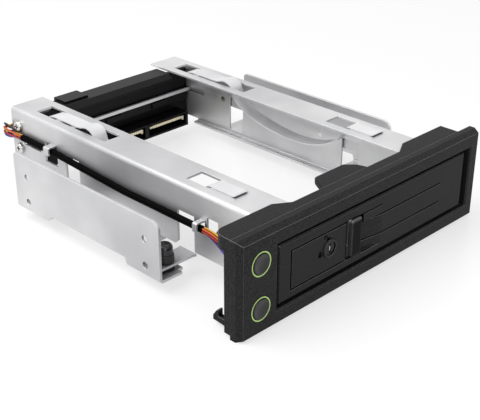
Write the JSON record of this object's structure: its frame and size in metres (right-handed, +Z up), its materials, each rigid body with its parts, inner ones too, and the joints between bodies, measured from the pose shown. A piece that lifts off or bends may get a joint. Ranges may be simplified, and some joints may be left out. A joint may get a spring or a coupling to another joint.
{
  "type": "hot swap drive cage",
  "caption": "Trayless hot swap cage for a 3.5 inch drive in a 5.25 inch bay, with a black bezel door, latch, key lock, two lit buttons, steel rails, brackets and backplane.",
  "frame": {"origin": "under the middle of the whole cage, on the level of the bezel's lower edge", "axes": "+X to the right seen from the front, +Y from the bezel to the backplane, +Z up"},
  "size_m": [0.1494, 0.1788, 0.042],
  "materials": {
    "bezel_plastic": "spark-eroded black ABS",
    "mechanism_plastic": "plain black acetal",
    "button_plastic": "smooth satin black",
    "light_guide": "clear green light guide",
    "circuit_board": "green solder mask",
    "contact_plastic": "cream nylon",
    "screw_steel": "zinc plated",
    "spring_steel": "bright rolled spring strip",
    "zinc_sheet": "satin zinc plated sheet",
    "grommet_rubber": "soft black rubber",
    "housing_plastic": "black glass filled nylon",
    "sleeve_pvc": "soft black tubing",
    "lock_black": "black lacquered zinc",
    "wire_black": "insulated wire",
    "wire_yellow": "insulated wire",
    "wire_orange": "insulated wire",
    "wire_red": "insulated wire",
    "wire_purple": "insulated wire",
    "wire_blue": "insulated wire"
  },
  "bodies": {
    "cage": {"backplane_board": "circuit_board", "backplane_housing": "housing_plastic", "bezel": "bezel_plastic", "board_screws": "screw_steel", "button_board": "circuit_board", "contact_tongues": "contact_plastic", "drive_receptacle": "housing_plastic", "grommet_studs": "screw_steel", "guide_tongue": "bezel_plastic", "hinge_pin": "screw_steel", "host_data_connector": "housing_plastic", "host_power_connector": "housing_plastic", "lead_header": "contact_plastic", "lead_sleeve": "sleeve_pvc", "lead_socket": "contact_plastic", "left_leaf_spring": "spring_steel", "left_mounting_bracket": "zinc_sheet", "left_side_rail": "zinc_sheet", "lower_light_ring": "light_guide", "pcb_screws": "screw_steel", "rear_side_screws": "screw_steel", "right_leaf_spring": "spring_steel", "right_mounting_bracket": "zinc_sheet", "right_side_rail": "zinc_sheet", "rubber_grommets": "grommet_rubber", "slider_rivets": "screw_steel", "status_lamps": "contact_plastic", "tact_switches": "mechanism_plastic", "upper_light_ring": "light_guide", "wire_black": "wire_black", "wire_blue": "wire_blue", "wire_orange": "wire_orange", "wire_purple": "wire_purple", "wire_red": "wire_red", "wire_yellow": "wire_yellow"},
    "door": {"door_panel": "bezel_plastic", "door_back_cover": "bezel_plastic", "cover_screws": "screw_steel", "door_crank": "zinc_sheet", "lock_barrel": "lock_black", "lock_nut": "screw_steel", "latch_pin": "screw_steel", "latch_spring": "spring_steel"},
    "latch_handle_body": {"latch_handle": "bezel_plastic"},
    "latch_bolt_body": {"latch_bolt": "mechanism_plastic"},
    "lock": {"lock_plug": "lock_black", "lock_cam": "zinc_sheet", "cam_screw": "screw_steel"},
    "upper_button_body": {"upper_button": "button_plastic", "upper_switch_plunger": "mechanism_plastic"},
    "lower_button_body": {"lower_button": "button_plastic", "lower_switch_plunger": "mechanism_plastic"},
    "ejector": {"eject_bumper": "mechanism_plastic", "eject_crossbar": "zinc_sheet", "eject_slider": "zinc_sheet"}
  },
  "joints": [
    {"name": "door_hinge", "type": "hinge", "parent": "cage", "child": "door", "pos_m": [0.0632, -0.0842, 0.021], "axis": [0, 0, 1], "range_deg": [0, 90]},
    {"name": "eject_slide", "type": "slide", "parent": "cage", "child": "ejector", "axis": [0, -1, 0], "range_m": [0, 0.0114]},
    {"name": "handle_pull", "type": "hinge", "parent": "door", "child": "latch_handle_body", "pos_m": [-0.0122, -0.0859, 0.021], "axis": [0, 0, -1], "range_deg": [0, 36], "stiffness_Nm_per_rad": 0.02},
    {"name": "bolt_slide", "type": "slide", "parent": "door", "child": "latch_bolt_body", "axis": [1, 0, 0], "range_m": [0, 0.00206]},
    {"name": "key_turn", "type": "hinge", "parent": "door", "child": "lock", "pos_m": [-0.0252, -0.0828, 0.0213], "axis": [0, -1, 0], "range_deg": [0, 90]},
    {"name": "upper_button_press", "type": "slide", "parent": "cage", "child": "upper_button_body", "axis": [0, 1, 0], "range_m": [0, 0.0006], "stiffness_N_per_m": 800},
    {"name": "lower_button_press", "type": "slide", "parent": "cage", "child": "lower_button_body", "axis": [0, 1, 0], "range_m": [0, 0.0006], "stiffness_N_per_m": 800}
  ],
  "couplings": [
    {"joint": "eject_slide", "follows": "door_hinge", "m_per_rad": 0.007203},
    {"joint": "handle_pull", "follows": "bolt_slide", "rad_per_m": 305.4}
  ]
}
